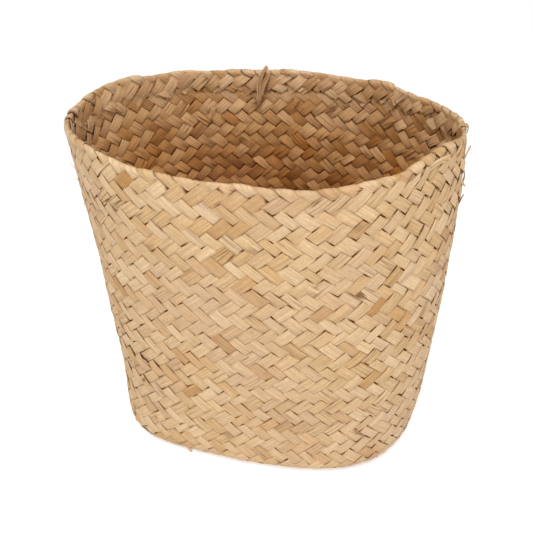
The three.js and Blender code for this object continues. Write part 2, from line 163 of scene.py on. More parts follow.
# The strips' finish: seagrass leaf, dried, split lengthwise and pressed flat by the plaiting.
# It is pale straw with a low sheen, fine lengthwise fibres, dark splits and a tone that changes
# from strip to strip.
def seagrass_material(name, light, middle, dark):
    # dried leaf: straw coloured, faintly waxy along the fibres, dull in the splits
    material = bpy.data.materials.new(name)
    tree = new_tree(material)
    place = add_node(tree, "UVMap", {"uv_map": "leaf"})

    def lengthwise_noise(length_mm, width_mm, detail):
        """Noise drawn out along the leaf: its grain is length_mm long and width_mm wide."""
        stretch = add_node(
            tree,
            "Mapping",
            {"Scale": (1000 / length_mm, 1000 / width_mm, 1)},
            {"Vector": place.outputs["UV"]},
        )
        return add_node(
            tree,
            "TexNoise",
            {"Scale": 1.0, "Detail": detail, "Roughness": 0.6},
            {"Vector": stretch.outputs["Vector"]},
        ).outputs["Fac"]

    # real fibres are about 0.1 mm wide; they are drawn 0.7 mm wide to show at this distance
    fibres = lengthwise_noise(30, 0.7, 3)
    streaks = lengthwise_noise(45, 2.0, 2)
    split_noise = lengthwise_noise(60, 2.6, 0)
    blotches = lengthwise_noise(11, 9, 2)
    flecks = lengthwise_noise(2.6, 1.0, 2)

    tone = add_node(tree, "Attribute", {"attribute_name": "tone"}).outputs["Fac"]
    # blotches move the tone up or down by up to about a fifth
    tone_spread = add_node(tree, "Math", {"operation": "MULTIPLY_ADD", 1: 0.45, 2: -0.225}, {0: blotches})
    tone_mixed = add_node(tree, "Math", {"operation": "ADD"}, {0: tone, 1: tone_spread.outputs[0]})
    straw = add_node(tree, "ValToRGB", links={"Fac": tone_mixed.outputs[0]})
    straw.color_ramp.elements[0].color = linear_colour(dark)
    straw.color_ramp.elements[0].position = 0.0
    straw.color_ramp.elements[1].color = linear_colour(light)
    straw.color_ramp.elements[1].position = 1.0
    straw.color_ramp.elements.new(0.5).color = linear_colour(middle)

    warmth = add_node(tree, "Attribute", {"attribute_name": "warmth"}).outputs["Fac"]
    warm = add_node(
        tree,
        "Mix",
        {"data_type": "RGBA", "blend_type": "MULTIPLY", 7: linear_colour("#F2D9AE")},
        {0: warmth, 6: straw.outputs["Color"]},
    )
    coolness = add_node(tree, "Attribute", {"attribute_name": "greyness"}).outputs["Fac"]
    greyed = add_node(
        tree,
        "Mix",
        {"data_type": "RGBA", "blend_type": "MIX", 7: linear_colour("#D2B090")},
        {0: coolness, 6: warm.outputs[2]},
    )

    # parts of the wall have a pinkish cast, some 70 mm across
    wall_place = add_node(tree, "TexCoord")
    cast_noise = add_node(
        tree, "TexNoise", {"Scale": 1000 / 70, "Detail": 1.0}, {"Vector": wall_place.outputs["Object"]}
    )
    cast_share = add_node(
        tree,
        "MapRange",
        {"From Min": 0.42, "From Max": 0.66, "To Max": 0.25},
        {"Value": cast_noise.outputs["Fac"]},
    )
    cast = add_node(
        tree,
        "Mix",
        {"data_type": "RGBA", "blend_type": "MIX", 7: linear_colour("#D2B094")},
        {0: cast_share.outputs[0], 6: greyed.outputs[2]},
    )

    # painted shade: the side that faces into the basket is drawn browner, the more so deeper down, for the
    # dim light reflected inside the basket
    inner = add_node(tree, "Attribute", {"attribute_name": "inside_painted_shade"}).outputs["Fac"]
    inside_shaded = add_node(
        tree,
        "Mix",
        {"data_type": "RGBA", "blend_type": "MULTIPLY", 7: linear_colour("#FFE3BF")},
        {0: inner, 6: cast.outputs[2]},
    )

    # fibres, streaks and flecks lighten and darken the leaf, together by up to a third
    fibre_shade = add_node(
        tree,
        "MapRange",
        {"From Min": 0.3, "From Max": 0.7, "To Min": 0.79, "To Max": 1.14},
        {"Value": fibres},
    )
    streak_shade = add_node(
        tree,
        "MapRange",
        {"From Min": 0.32, "From Max": 0.68, "To Min": 0.91, "To Max": 1.05},
        {"Value": streaks},
    )
    fleck_shade = add_node(
        tree,
        "MapRange",
        {"From Min": 0.3, "From Max": 0.7, "To Min": 0.9, "To Max": 1.09},
        {"Value": flecks},
    )
    grain_shade = add_node(
        tree, "Math", {"operation": "MULTIPLY"}, {0: fibre_shade.outputs[0], 1: streak_shade.outputs[0]}
    )
    shade = add_node(
        tree, "Math", {"operation": "MULTIPLY"}, {0: grain_shade.outputs[0], 1: fleck_shade.outputs[0]}
    )

    # a split is a thin line where the noise crosses its middle value
    from_middle = add_node(tree, "Math", {"operation": "SUBTRACT", 1: 0.5}, {0: split_noise})
    distance = add_node(tree, "Math", {"operation": "ABSOLUTE"}, {0: from_middle.outputs[0]})
    split = add_node(
        tree,
        "MapRange",
        {"From Min": 0.008, "From Max": 0.045, "To Min": 1.0, "To Max": 0.0},
        {"Value": distance.outputs[0]},
    )
    worn = add_node(tree, "Attribute", {"attribute_name": "worn"}).outputs["Fac"]
    shaded = add_node(
        tree, "VectorMath", {"operation": "SCALE"}, {0: inside_shaded.outputs[2], "Scale": shade.outputs[0]}
    )
    # the cut edges are drawn darker in stretches, partly the leaf's own darker edges and partly painted
    # shade in the gaps between strips; the corners where a strip dives get painted brown shade
    edge = add_node(tree, "Attribute", {"attribute_name": "edge"}).outputs["Fac"]
    edge_line = add_node(
        tree, "MapRange", {"From Min": 0.87, "From Max": 1.0, "To Max": 0.7}, {"Value": edge}
    )
    edge_stretch = add_node(tree, "MapRange", {"From Min": 0.47, "From Max": 0.62}, {"Value": blotches})
    edge_and_gap_shade = add_node(
        tree, "Math", {"operation": "MULTIPLY"}, {0: edge_line.outputs[0], 1: edge_stretch.outputs[0]}
    )
    split_dark = add_node(tree, "Math", {"operation": "MULTIPLY"}, {0: split.outputs[0], 1: worn})
    splits_and_edge_shade = add_node(
        tree, "Math", {"operation": "MAXIMUM"}, {0: edge_and_gap_shade.outputs[0], 1: split_dark.outputs[0]}
    )
    # painted shade at the corners where a strip dives, and in the creases at the rim
    dive_shade = add_node(tree, "Attribute", {"attribute_name": "dive_shade"}).outputs["Fac"]
    splits_and_painted_shade = add_node(tree, "Math", {"operation": "MAXIMUM"}, {0: splits_and_edge_shade.outputs[0], 1: dive_shade})
    # the splits and the painted shade darken the straw towards this brown
    coloured = add_node(
        tree,
        "Mix",
        {"data_type": "RGBA", "blend_type": "MULTIPLY", 7: linear_colour("#7C4E18")},
        {0: splits_and_painted_shade.outputs[0], 6: shaded.outputs[0]},
    )

    height = add_node(tree, "Math", {"operation": "SUBTRACT"}, {0: fibres, 1: split_dark.outputs[0]})
    relief = add_node(tree, "Bump", {"Strength": 0.55, "Distance": 0.0003}, {"Height": height.outputs[0]})
    roughness = add_node(
        tree,
        "MapRange",
        {"From Min": 0.3, "From Max": 0.7, "To Min": 0.68, "To Max": 0.52},
        {"Value": fibres},
    )
    shine = add_node(tree, "MapRange", {"To Min": 0.35, "To Max": 0.0}, {"Value": splits_and_painted_shade.outputs[0]})
    leaf = add_node(
        tree,
        "BsdfPrincipled",
        {"IOR": 1.45},
        {
            "Specular IOR Level": shine.outputs[0],
            "Base Color": coloured.outputs[2],
            "Roughness": roughness.outputs[0],
            "Normal": relief.outputs["Normal"],
        },
    )
    add_node(tree, "OutputMaterial", links={"Surface": leaf.outputs[0]})
    return material


seagrass = seagrass_material("dried_seagrass_leaf", "#E5C79F", "#D4B081", "#B6864B")

# The basket's form, which the strips follow: an oval rim over a squarer, smaller base, with a wall
# that widens soonest near the bottom and leans a little. Sizes are close to the CAD model's, in mm.
HEIGHT = 220
RIM_LENGTH = 246
RIM_WIDTH = 188
BASE_LENGTH = 218
BASE_WIDTH = 176
RIM_SQUARENESS = 2.05
BASE_SQUARENESS = 2.8
WALL_SWELL = 0.48
LEAN = 8
SIDE_SWELL = 15
EDGE_ROUNDING = 12
# half of the plaited wall's thickness, and how far its middle lies inside the outline
WALL_HALF = 0.95
WALL_INSET = 1.6
# the CAD model's origin is the middle of its box, and the rim's middle lies this far from it
RIM_CENTRE = (-1.44, -0.66)

# The plait has 64 strips and so 64 strip ends round the rim in each direction. The base is 18 strips
# long and 14 wide, and 47 crossings lie between its edge and the start of the fold.
ENDS = 64
HALF_LENGTH_ENDS = 9
HALF_WIDTH_ENDS = 7
FOLD_ROW = 47.3
# how much closer the rows lie near the rim, and the fold's radius and the height of its rows in mm
ROW_CROWDING = 0.062
FOLD_RADIUS = 0.85
FOLD_ROW_HEIGHT = 4.2
OVAL_POINTS = 2881
rng = np.random.default_rng(7)


def oval(half_length, half_width, squareness):
    """An oval read by the share of its length, counter-clockwise from its -Y middle."""
    angle = np.linspace(-math.pi / 2, 1.5 * math.pi, OVAL_POINTS)
    c = np.cos(angle)
    s = np.sin(angle)
    x = half_length * np.sign(c) * np.abs(c) ** (2 / squareness)
    y = half_width * np.sign(s) * np.abs(s) ** (2 / squareness)
    reach = np.concatenate([[0], np.cumsum(np.hypot(np.diff(x), np.diff(y)))])
    reach = reach / reach[-1]

    def at(share):
        wrapped = np.mod(share, 1)
        return np.stack([np.interp(wrapped, reach, x), np.interp(wrapped, reach, y)], axis=-1)

    return at


rim_oval = oval(RIM_LENGTH / 2 - WALL_INSET, RIM_WIDTH / 2 - WALL_INSET, RIM_SQUARENESS)
base_oval = oval(BASE_LENGTH / 2 - WALL_INSET, BASE_WIDTH / 2 - WALL_INSET, BASE_SQUARENESS)
FOLD_START = HEIGHT - FOLD_RADIUS - WALL_HALF


def unit(vectors):
    """Vectors made one long."""
    return vectors / np.linalg.norm(vectors, axis=-1, keepdims=True)


def slow_waves(seed, count, most_turns):
    """A smooth wave round the basket, about -1 to 1, that closes on itself."""
    source = np.random.default_rng(seed)
    turns = source.integers(2, most_turns, count)
    phase = source.uniform(0, 2 * math.pi, count)
    weight = source.uniform(0.5, 1, count)
    weight = weight / weight.sum()

    def at(s):
        angle = 2 * math.pi * s[..., None] / ENDS
        return (weight * np.sin(turns * angle + phase)).sum(axis=-1)

    return at


rim_ripple = slow_waves(3, 6, 22)
wall_dents = [slow_waves(11, 4, 7), slow_waves(12, 4, 9), slow_waves(13, 4, 7)]
# the levels of the three rings of shallow dents, their half height and their depth as a share
DENT_LEVELS = (0.25, 0.55, 0.85)
DENT_HALF_HEIGHT = 0.22
DENT_SHARE = 0.011
# a hump of the rim: its place in strip ends, its half width in strip ends and its height in mm
RIM_HUMPS = [
    (0.7, 2.1, 2.2), (11.5, 6.0, -1.4), (12.9, 2.0, -2.2), (21.0, 2.2, 4.8), (28.5, 1.2, -1.0),
    (31.0, 1.2, -1.2), (34.0, 1.5, 2.0), (39.5, 2.0, 1.5), (48.0, 1.6, 1.6), (53.0, 2.6, 3.0),
    (58.0, 1.6, -1.8),
]
# how far the hand-made rim goes up and down between the humps, in mm
RIM_RIPPLE = 0.7
# a dent or bulge of the wall: its place in strip ends and its level, its half width and half height
# in the same units, and how far it goes out in mm
WALL_DENTS = [
    (21.0, 1.0, 2.6, 0.22, -4.0), (28.5, 1.0, 2.5, 0.25, 2.0), (24.5, 0.55, 3.5, 0.3, -1.8),
    (24.5, 0.12, 2.0, 0.1, 1.6), (20.0, 0.02, 2.6, 0.09, -1.2), (60.0, 0.8, 2.5, 0.15, 1.5),
    (61.0, 0.45, 3.0, 0.15, 1.0), (0.5, 0.06, 2.5, 0.1, 2.2), (5.5, 0.02, 2.5, 0.08, -1.6),
]


def way_round(s, place):
    """How far s lies from a place round the basket, the short way, in strip ends."""
    return np.mod(s - place + ENDS / 2, ENDS) - ENDS / 2


def rim_lift(s):
    """How far the hand-made rim stands above or below its level, in mm."""
    lift = RIM_RIPPLE * rim_ripple(s)
    for place, half_width, height in RIM_HUMPS:
        away = way_round(s, place)
        lift = lift + height * np.exp(-(away / half_width) ** 2)
    return lift


def wall_point(s, v):
    """The middle of the wall: s counts strip ends round from the -X, -Y corner, v rises from 0 to 1."""
    share = (s - HALF_LENGTH_ENDS) / ENDS
    widening = (v + WALL_SWELL * v * (1 - v))[..., None]
    flat = base_oval(share) * (1 - widening) + rim_oval(share) * widening
    bulge = sum(
        dent(s) * np.exp(-((v - level) / DENT_HALF_HEIGHT) ** 2)
        for dent, level in zip(wall_dents, DENT_LEVELS)
    )
    push = 0
    for place, level, half_width, half_height, reach in WALL_DENTS:
        away = way_round(s, place)
        push = push + reach * np.exp(-(away / half_width) ** 2 - ((v - level) / half_height) ** 2)
    flat = flat * (1 + DENT_SHARE * bulge[..., None]) + unit(flat) * np.asarray(push)[..., None]
    lean = LEAN * (1 - v) + SIDE_SWELL * v * (1 - v)
    x = flat[..., 0] + lean + RIM_CENTRE[0]
    y = flat[..., 1] + RIM_CENTRE[1]
    # the rim's rise and fall dies away down the wall
    rise = rim_lift(s) * np.clip(v, 0, 1.2) ** 4
    z = WALL_HALF + (FOLD_START - WALL_HALF) * v + rise
    return np.stack([x, y, z], axis=-1)


# short ways round and up the wall, over which its directions are measured
STEP_ROUND = 0.05
STEP_UP = 0.005


def wall_directions(s, v):
    """The unit vectors outwards and upwards on the wall."""
    along = unit(wall_point(s + STEP_ROUND, v) - wall_point(s - STEP_ROUND, v))
    upward = unit(wall_point(s, v + STEP_UP) - wall_point(s, v - STEP_UP))
    outward = unit(np.cross(along, upward))
    return outward, upward


def rounded_edge(sharp, s, edge_distance):
    """Bend the sharp bottom edge into a round one. edge_distance is negative on the base."""
    foot = np.zeros_like(s)
    tangent = unit(wall_point(s + STEP_ROUND, foot) - wall_point(s - STEP_ROUND, foot))
    outward = unit(np.cross(tangent, np.array([0.0, 0.0, 1.0])))
    upward = unit(wall_point(s, foot + 4 * STEP_UP) - wall_point(s, foot))
    left = np.maximum(0, EDGE_ROUNDING - np.abs(edge_distance))
    pull = (left ** 2 / (4 * EDGE_ROUNDING))[..., None]
    turn = left / (2 * EDGE_ROUNDING)
    turn = np.where(edge_distance < 0, turn, 1 - turn)[..., None]
    along = outward * (1 - turn) + upward * turn
    return sharp + upward * pull - outward * pull, unit(np.cross(tangent, along))


NOT_ZERO = 1e-6
ROUNDING_ERROR = 1e-7


def on_base(x, y):
    """A place on the base in strip ends from its middle: the point and the outward normal."""
    ratio = np.maximum(np.abs(x) / HALF_LENGTH_ENDS, np.abs(y) / HALF_WIDTH_ENDS)
    ratio = np.maximum(ratio, NOT_ZERO)
    edge_x = x / ratio
    edge_y = y / ratio
    s = np.select(
        [
            edge_y <= -HALF_WIDTH_ENDS + ROUNDING_ERROR,
            edge_x >= HALF_LENGTH_ENDS - ROUNDING_ERROR,
            edge_y >= HALF_WIDTH_ENDS - ROUNDING_ERROR,
        ],
        [
            edge_x + HALF_LENGTH_ENDS,
            2 * HALF_LENGTH_ENDS + edge_y + HALF_WIDTH_ENDS,
            3 * HALF_LENGTH_ENDS + 2 * HALF_WIDTH_ENDS - edge_x,
        ],
        4 * HALF_LENGTH_ENDS + 3 * HALF_WIDTH_ENDS - edge_y,
    )
    centre = np.array([LEAN + RIM_CENTRE[0], RIM_CENTRE[1], WALL_HALF])
    straight = np.stack(
        [
            centre[0] + x / HALF_LENGTH_ENDS * (BASE_LENGTH / 2 - WALL_HALF),
            centre[1] + y / HALF_WIDTH_ENDS * (BASE_WIDTH / 2 - WALL_HALF),
            np.full_like(x, WALL_HALF),
        ],
        axis=-1,
    )
    edge = wall_point(s, np.zeros_like(s))
    radial = centre + (edge - centre) * ratio[..., None]
    blend = (ratio ** 2)[..., None]
    sharp = straight * (1 - blend) + radial * blend
    distance = np.linalg.norm(edge - centre, axis=-1)
    return rounded_edge(sharp, s, -(1 - ratio) * distance)


def on_wall(s, row):
    """A place on the wall, row crossings above the bottom edge, or past the fold inside the wall."""
    level = np.minimum(row, FOLD_ROW) / FOLD_ROW
    v = level + ROW_CROWDING * level * (1 - level)
    past = np.maximum(row - FOLD_ROW, 0) * FOLD_ROW_HEIGHT
    arc = math.pi * FOLD_RADIUS
    turned = np.minimum(past, arc) / FOLD_RADIUS
    down = np.maximum(past - arc, 0)
    v = v - down / (FOLD_START - WALL_HALF)
    point = wall_point(s, v)
    outward, upward = wall_directions(s, v)
    edge_distance = np.linalg.norm(point - wall_point(s, np.zeros_like(s)), axis=-1)
    rounded, rounded_normal = rounded_edge(point, s, edge_distance)
    low = (edge_distance < EDGE_ROUNDING)[..., None]
    point = np.where(low, rounded, point)
    normal = np.where(low, rounded_normal, outward)
    swing = turned[..., None]
    inwards = FOLD_RADIUS * (np.cos(swing) - 1)
    point = point + outward * inwards + upward * (FOLD_RADIUS * np.sin(swing))
    folded = normal * np.cos(swing) + upward * np.sin(swing)
    return point, folded


def plait_place(kind, strip_row, row, step):
    """Where row and step, counted in strips, lie on the base (x, y) or the wall (s, climb).

    Strips of kind p follow x - y = row on the base and those of kind q follow x + y = row. The strip's
    own row settles which wall each of its ends climbs.
    """
    x = (row + step) / 2
    y = (step - row) / 2 if kind == "p" else (row - step) / 2
    turn_row = HALF_LENGTH_ENDS - HALF_WIDTH_ENDS
    upper = 2 * HALF_LENGTH_ENDS - row if strip_row > turn_row else 2 * HALF_WIDTH_ENDS + row
    lower = -2 * HALF_LENGTH_ENDS - row if strip_row < -turn_row else row - 2 * HALF_WIDTH_ENDS
    climb = np.maximum(step - upper, lower - step)
    end_plus = 2 * HALF_LENGTH_ENDS + HALF_WIDTH_ENDS + y
    end_minus = 4 * HALF_LENGTH_ENDS + 3 * HALF_WIDTH_ENDS - y
    side_minus = x + HALF_LENGTH_ENDS
    side_plus = 3 * HALF_LENGTH_ENDS + 2 * HALF_WIDTH_ENDS - x
    upper_side, lower_side = (side_plus, side_minus) if kind == "p" else (side_minus, side_plus)
    upper_s = end_plus if strip_row > turn_row else upper_side
    lower_s = end_minus if strip_row < -turn_row else lower_side
    return x, y, np.where(step > 0, upper_s, lower_s), climb


# the strips were split by hand, so their edges stray by about this share of a strip's width
EDGE_STRAY = 0.085
# the rows over which this dies away towards the base and the rim
EDGE_FADE = 6


def uneven_edges(seed):
    """How far the edges of the strips of one slant lie from even ones, in strip ends."""
    strays = np.random.default_rng(seed).normal(0, EDGE_STRAY, ENDS)
    strays = np.append(strays, strays[0])
    return lambda place: np.interp(np.mod(place, ENDS), np.arange(ENDS + 1), strays)


rising_edges = uneven_edges(21)
falling_edges = uneven_edges(22)


def plait_surface(kind, strip_row, row, step):
    """The points and outward normals of places on a strip."""
    x, y, s, climb = plait_place(kind, strip_row, row, step)
    freedom = np.clip(climb / EDGE_FADE, 0, 1) * np.clip((FOLD_ROW - 1 - climb) / EDGE_FADE, 0, 1)
    rising = rising_edges(s - climb / 2) * freedom
    falling = falling_edges(s + climb / 2) * freedom
    s = s + (rising + falling) / 2
    climb = climb + falling - rising
    # both are worked out everywhere, with a stand-in place on the base for what is on the wall
    flat = climb < 0
    base_point, base_normal = on_base(np.where(flat, x, 0.5), np.where(flat, y, 0.5))
    wall, wall_normal = on_wall(s, np.maximum(climb, 0))
    low = flat[..., None]
    return np.where(low, base_point, wall), np.where(low, base_normal, wall_normal)


def lies_over(kind, row, step):
    """Whether a strip is the outer one at a crossing: over two and under two, in level rows."""
    steps = np.array([step, step + math.copysign(0.1, step)])
    x, y, s, climb = plait_place(kind, row, np.array([row, row]), steps)
    level = round(float(climb[0]))
    if level < 0:
        return (round(2 * float(y[0])) % 4 < 2) == (kind == "p")
    rises_right = float(s[1]) > float(s[0])
    return rises_right == (level % 4 in (1, 2))


# The leaf strips: split seagrass, dried, about 7 mm wide and 0.38 mm thick. Each runs from rim to rim:
# down the wall at a slant, across the base and up another side, over two strips of the other slant and
# under two. Both ends go over the rim and are tucked in on the inside.

LEAF_THICKNESS = 0.38
# a strip's corners: in crossings from the middle of each, past the start of a fold, and across it in
# half widths; a dive under the next strip starts this far from a crossing's middle
DIVE_START = 0.34
STATIONS = np.array([-0.5, -0.42, -DIVE_START, 0.0, DIVE_START, 0.42])
FOLD_STATIONS = np.array([0.0, 0.16, 0.32, 0.48, 0.64])
FOLD_MIDDLE = 0.32
ACROSS = np.array([-1.0, -0.7, 0.0, 0.7, 1.0])
# the fewest and most crossings that an end is tucked down inside
TUCK_ROWS = (3.2, 4.7)
# how far a float stands from the wall's middle in mm: beside its dive, over one crossing and at its middle
OUTER_FLOAT = (0.24, 0.36, 0.47)
INNER_FLOAT = (0.4, 0.85, 1.2)
# how much more unevenly the floats stand and tilt on the side that looks into the basket
INNER_UNEVENNESS = 1.2
# how far a leaf bulges between its edges, in mm, along a float and on the rim
LEAF_CROWN = 0.12
FOLD_CROWN = 0.3
LEAF_WIDTH_MM = 6.9
# a strip's share of its pitch, and how much narrower it is where the plait is loose or bends most
WIDTH_SHARE = 1.01
WIDTH_STRAY = 0.012
LOOSE_NARROWING = 0.06
BEND_NARROWING = 0.03
LEAST_WIDTH = 0.86
MOST_WIDTH = 1.06
# how far a strip drifts to and fro, also where it is loose, and how far askew its folded end goes
DRIFT = 0.022
LOOSE_DRIFT = 0.07
FOLD_SKEW = 0.11
# where the plait has worked loose: strip ends round and rows up, and the half width and height of each
LOOSE_PLACES = [(20.5, 45.5), (23.5, 42.0), (30.3, 45.5), (57.5, 46.0), (1.5, 14.5)]
LOOSE_HALF_ENDS = 1.8
LOOSE_HALF_ROWS = 3.5
# the places round the wall that bend most and their half width, in strip ends
TIGHT_BENDS = (20.5, 61.5)
BEND_HALF_ENDS = 4
# how far from the fold's middle, in rows, the fold presses on a strip
FOLD_REACH = 0.9
# how unevenly the floats lie: their lift and tilt, and the fold's lift and its stray, in mm, and the
# share by which a strip stands out less at the fold
FLOAT_LIFT = 0.05
FLOAT_TILT = 0.13
FOLD_LIFT = 0.1
FOLD_LIFT_STRAY = 0.36
FOLD_PRESS = 0.3
# how far a strip's ends turn in under the others, in mm
END_SINK = 0.9
# a leaf's tone, from 0 dark to 1 pale, and how far it strays between strips, between floats and along one
LEAF_TONE = 0.6
STRIP_STRAY = 0.05
FLOAT_STRAY = 0.115
LENGTH_STRAY = 0.04
# the share of the floats that are golden, and how much darker and warmer these are
GOLDEN_SHARE = 0.06
GOLDEN_DARKER = 0.26
GOLDEN_WARMER = 0.25
# painted shade on the side that looks into the basket: its darker tone, and how many times further than the
# outer side's it strays, partly for lit and shaded floats; and painted light: how much paler it is near the
# rim
INSIDE_SHADE_TONE = 0.52
INSIDE_SHADE_STRAY = 2.4
RIM_PAINTED_LIGHT = 0.2
# the leaf's grain starts this far on for each strip, in mm, so that no two strips are alike
STRIP_GRAIN_APART = 1500


def smooth_noise(count, spacing, source):
    """Values that drift smoothly between random ones, spacing apart."""
    knots = source.normal(0, 1, count // spacing + 4)
    return np.interp(np.arange(count) / spacing, np.arange(len(knots)), knots)


def looseness(s, climb):
    """How loose the plait is at a place, from 0 to 1."""
    loose = np.zeros_like(s)
    for place, row in LOOSE_PLACES:
        round_away = way_round(s, place) / LOOSE_HALF_ENDS
        rows_away = (climb - row) / LOOSE_HALF_ROWS
        loose = np.maximum(loose, np.exp(-round_away ** 2 - rows_away ** 2))
    return loose


def tightest_bend(s):
    """How near a place is to where the wall bends most and the plait opens a little, from 0 to 1."""
    return sum(np.exp(-(way_round(s, place) / BEND_HALF_ENDS) ** 2) for place in TIGHT_BENDS)


def smooth_mesh(name, corners, faces, sharp_degrees):
    """A mesh that is shaded smoothly across all but its sharp edges."""
    mesh = bpy.data.meshes.new(name)
    mesh.from_pydata(corners, [], faces)
    mesh.polygons.foreach_set("use_smooth", [True] * len(mesh.polygons))
    mesh.set_sharp_from_angle(angle=math.radians(sharp_degrees))
    return mesh


def closed_sheet(name, outer, inner, turned_over):
    """A thin closed mesh between two grids of points in mm, an outer and an inner one."""
    count, columns = outer.shape[:2]
    corners = np.concatenate([outer.reshape(-1, 3), inner.reshape(-1, 3)]) / 1000
    behind = count * columns
    grid = np.arange(count * columns).reshape(count, columns)
    a = grid[:-1, :-1].ravel()
    b = grid[:-1, 1:].ravel()
    c = grid[1:, 1:].ravel()
    d = grid[1:, :-1].ravel()
    outer_faces = np.stack([a, b, c, d], axis=1)
    inner_faces = np.stack([a, d, c, b], axis=1) + behind
    edge_ring = np.concatenate([grid[0, :], grid[1:, -1], grid[-1, -2::-1], grid[-2:0:-1, 0]])
    following = np.roll(edge_ring, -1)
    side_faces = np.stack([edge_ring, edge_ring + behind, following + behind, following], axis=1)
    faces = np.concatenate([outer_faces, inner_faces, side_faces])
    if turned_over:
        faces = faces[:, ::-1]
    return smooth_mesh(name, corners.tolist(), faces.tolist(), 50)


def paint_leaf(mesh, tones, along, across):
    """Give a leaf its tones, each for the outer and the inner face, and its grain's places in mm."""
    for attribute, values in tones.items():
        both_faces = np.concatenate([values[0].ravel(), values[1].ravel()])
        mesh.attributes.new(attribute, "FLOAT", "POINT").data.foreach_set("value", both_faces)
    places = np.stack([along, across], axis=-1).reshape(-1, 2) / 1000
    places = np.concatenate([places, places + np.array([0.7, 0.0])])
    uv = mesh.uv_layers.new(name="leaf")
    loops = np.zeros(len(mesh.loops), dtype=int)
    mesh.loops.foreach_get("vertex_index", loops)
    uv.data.foreach_set("uv", places[loops].ravel())


def strip_course(kind, row, source):
    """Where a strip turns up the walls and ends, the side it is on at each crossing, and its corners."""
    upper = min(2 * HALF_LENGTH_ENDS - row, 2 * HALF_WIDTH_ENDS + row)
    lower = -min(2 * HALF_LENGTH_ENDS + row, 2 * HALF_WIDTH_ENDS - row)
    tucks = source.uniform(*TUCK_ROWS, 2)
    first = lower - FOLD_ROW - tucks[0]
    last = upper + FOLD_ROW + tucks[1]
    crossings = np.arange(math.floor(first) - 0.5, math.ceil(last) + 1.5)
    over = np.array([1.0 if lies_over(kind, row, t) else -1.0 for t in crossings])
    # the folds have corners of their own, so those of the crossings leave room for them
    steps = (crossings[:, None] + STATIONS).ravel()
    past = np.maximum(steps - upper, lower - steps) - FOLD_ROW
    steps = steps[(steps > first + 0.05) & (steps < last - 0.05) & (np.abs(past - FOLD_MIDDLE) > 0.42)]
    folds = np.concatenate([lower - FOLD_ROW - FOLD_STATIONS, upper + FOLD_ROW + FOLD_STATIONS])
    steps = np.sort(np.concatenate([[first], steps, folds, [last]]))
    return lower, upper, crossings, over, steps


def strip_edges(row, steps, past, end, loose, bend, mid_s, mid_climb, source):
    """A strip's half width and the rows that its corners lie on."""
    count = len(steps)
    width = source.normal(WIDTH_SHARE, WIDTH_STRAY) + WIDTH_STRAY * smooth_noise(count, 30, source)
    width = width - LOOSE_NARROWING * loose - BEND_NARROWING * bend
    # high up near the left end the strips press closer
    width = width + 0.03 * np.exp(-((mid_s - 56) / 7) ** 2) * np.clip(mid_climb / 20 - 1, 0, 1)
    half_width = np.clip(width, LEAST_WIDTH, MOST_WIDTH) / 2
    # a strip drifts to and fro, and an end goes a little askew once it is folded
    fold_skew = source.normal(0, FOLD_SKEW, 2)[end] * np.clip(past - 0.4, 0, 5)
    drift = DRIFT * smooth_noise(count, 26, source) + fold_skew
    drift = drift + LOOSE_DRIFT * loose * smooth_noise(count, 9, source)
    half_width = half_width - 0.12 * np.exp(-np.minimum(steps - steps[0], steps[-1] - steps) * 3)
    return half_width, row + drift[:, None] + half_width[:, None] * ACROSS


def float_height(side, neighbour, from_crossing, past_fold):
    """How far a strip stands from the wall's middle in mm, and how much of the inner arch it has."""
    # floats arch more on the side that looks into the basket, but not where tucked ends press on them
    arched = np.where(
        (side < 0) == (past_fold < 0.3),
        np.clip(-(past_fold + 4) / 2, 0, 1) + 0.6 * np.clip(past_fold - 0.8, 0, 1),
        0,
    )
    beside_dive, at_crossing, at_middle = (
        flat + (bowed - flat) * arched for flat, bowed in zip(OUTER_FLOAT, INNER_FLOAT)
    )
    # a quick dive to where the strips change sides, and a long arch where they don't
    towards_dive = np.where(
        from_crossing > DIVE_START,
        beside_dive * (0.5 - from_crossing) / (0.5 - DIVE_START),
        beside_dive + (at_crossing - beside_dive) * (1 - (from_crossing / DIVE_START) ** 2),
    )
    arch = np.sin(math.pi * np.minimum(from_crossing, 0.5))
    towards_middle = at_crossing + (at_middle - at_crossing) * arch
    return np.where(neighbour == side, towards_middle, towards_dive), arched


